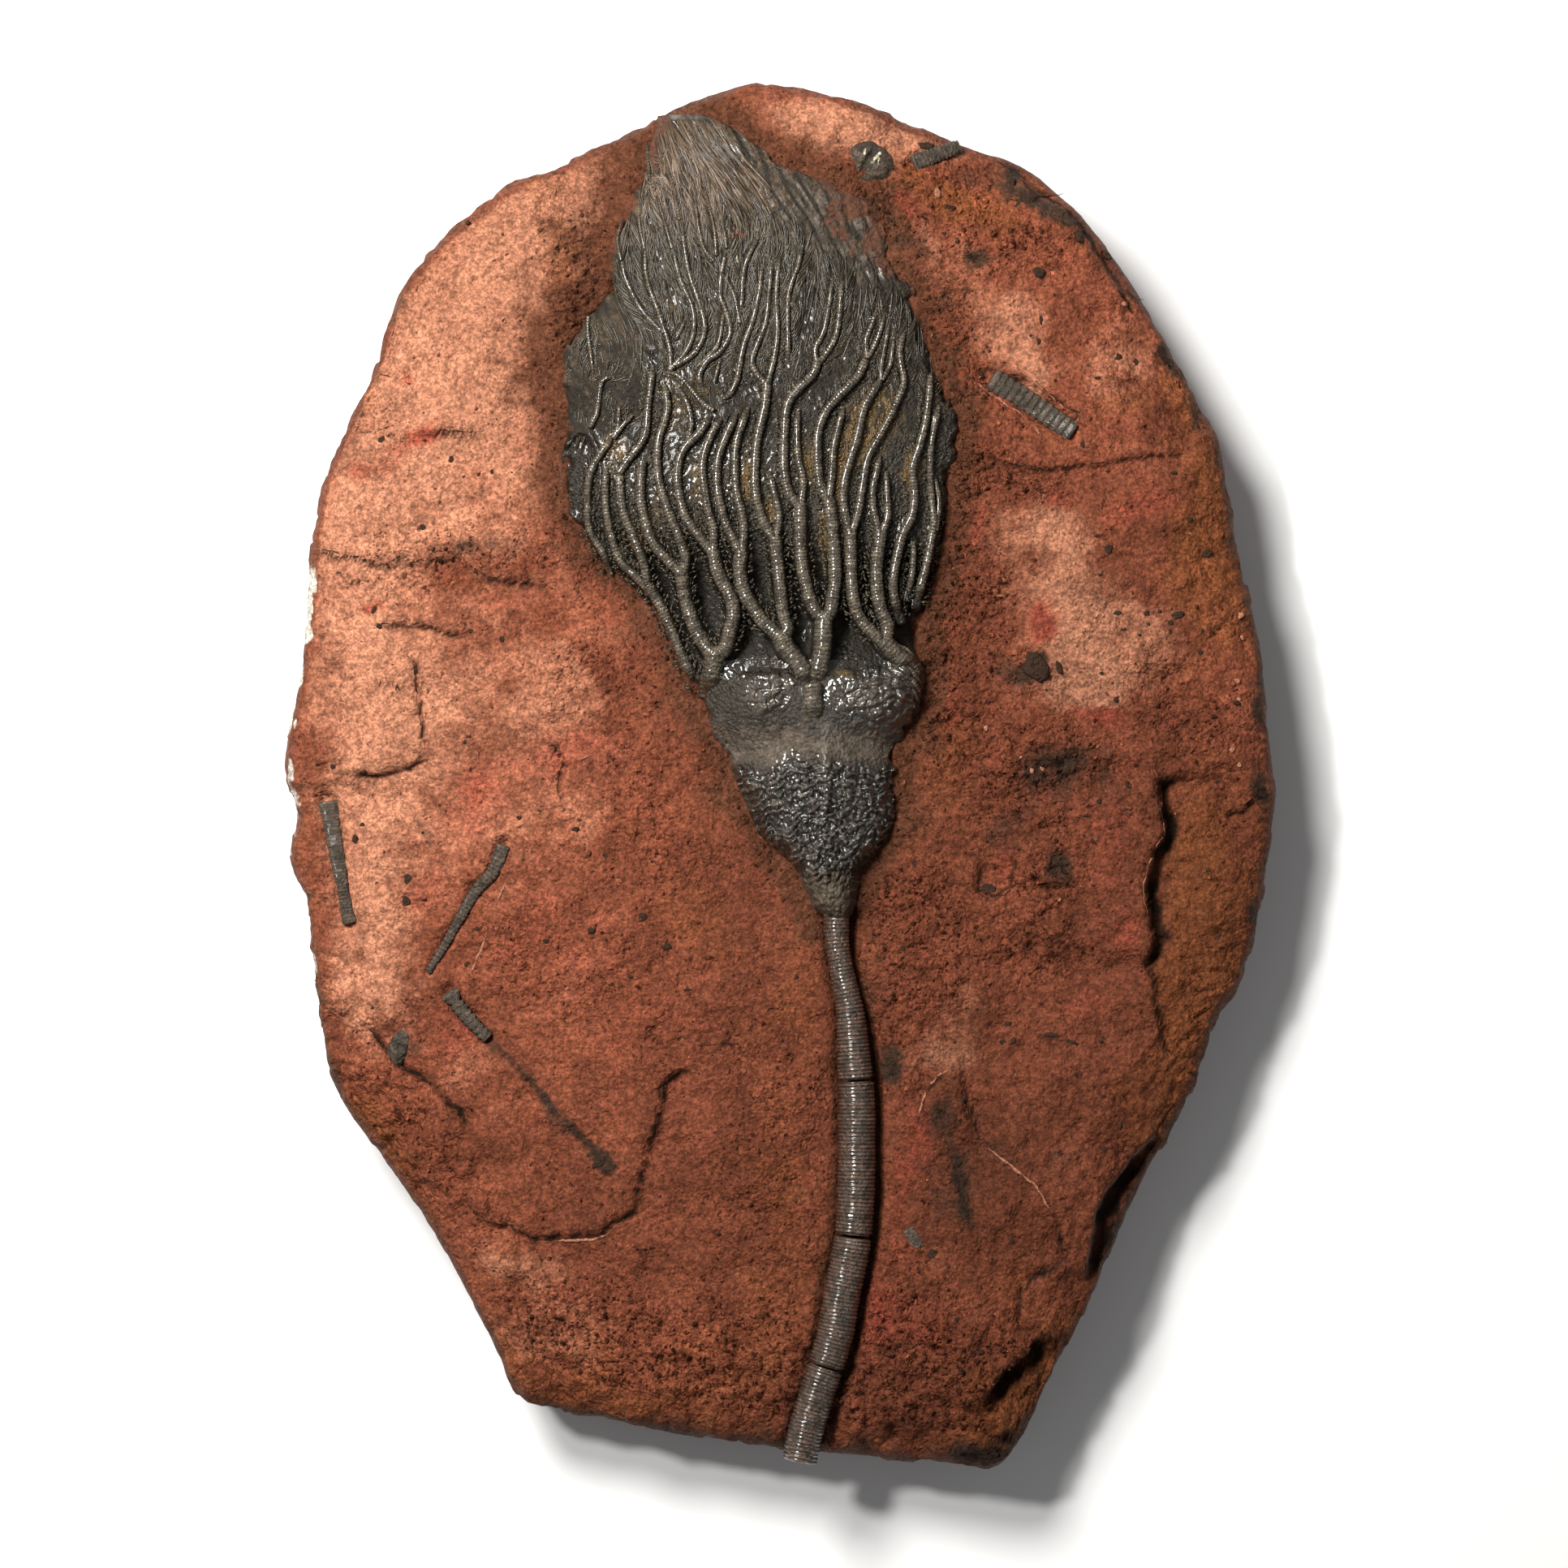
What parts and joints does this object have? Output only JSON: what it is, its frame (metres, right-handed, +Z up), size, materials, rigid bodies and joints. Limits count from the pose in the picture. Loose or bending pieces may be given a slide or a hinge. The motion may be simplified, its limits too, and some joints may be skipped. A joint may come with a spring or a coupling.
{
  "type": "crinoid fossil",
  "caption": "Fossil sea lily with branching arms, cup and ribbed stem in relief on a rounded slab of red sandstone, lying flat.",
  "frame": {"origin": "middle of the slab's underside", "axes": "+Y along the slab from the foot of the stem to the tips of the arms, +Z up out of the face, +X across"},
  "size_m": [0.272, 0.3806, 0.0561],
  "materials": {
    "slab_rock": "matt, grainy red sandstone with dark specks and broken edges",
    "crown_stone": "dark grey fine-feathered fossil, satin with wet-looking glints",
    "calyx_stone": "dark grey knobbly fossil, glossy on the ridges and matt in the hollows",
    "arm_stone": "dark grey ribbed fossil with a varnished sheen",
    "stem_stone": "brown-grey ribbed fossil, satin",
    "fragment_stone": "grey-brown ribbed fossil, matt"
  },
  "bodies": {
    "root": {"slab": "slab_rock", "pinnule_mat": "crown_stone", "calyx": "calyx_stone", "ray_left": "arm_stone", "ray_centre": "arm_stone", "ray_right": "arm_stone", "arms_left_outer": "arm_stone", "arm_left_edge": "arm_stone", "arms_left_middle": "arm_stone", "arms_left_inner": "arm_stone", "arms_centre_1": "arm_stone", "arms_centre_2": "arm_stone", "arms_centre_3": "arm_stone", "arms_centre_4": "arm_stone", "arm_centre_tip": "arm_stone", "arms_right_1": "arm_stone", "arms_right_2": "arm_stone", "arm_right_3": "arm_stone", "arm_right_short": "arm_stone", "arm_right_edge": "arm_stone", "arm_upper_1": "arm_stone", "arm_upper_2": "arm_stone", "arm_upper_3": "arm_stone", "arms_upper_left": "arm_stone", "stem_1": "stem_stone", "stem_2": "stem_stone", "stem_3": "stem_stone", "stem_4": "stem_stone", "stem_fragment_1": "fragment_stone", "stem_fragment_2": "fragment_stone", "stem_fragment_3": "fragment_stone", "stem_fragment_4": "fragment_stone", "stem_fragment_5": "fragment_stone", "shell_cup": "fragment_stone", "stem_disc": "fragment_stone", "grey_chip": "fragment_stone", "dark_nodule": "fragment_stone"}
  },
  "joints": []
}
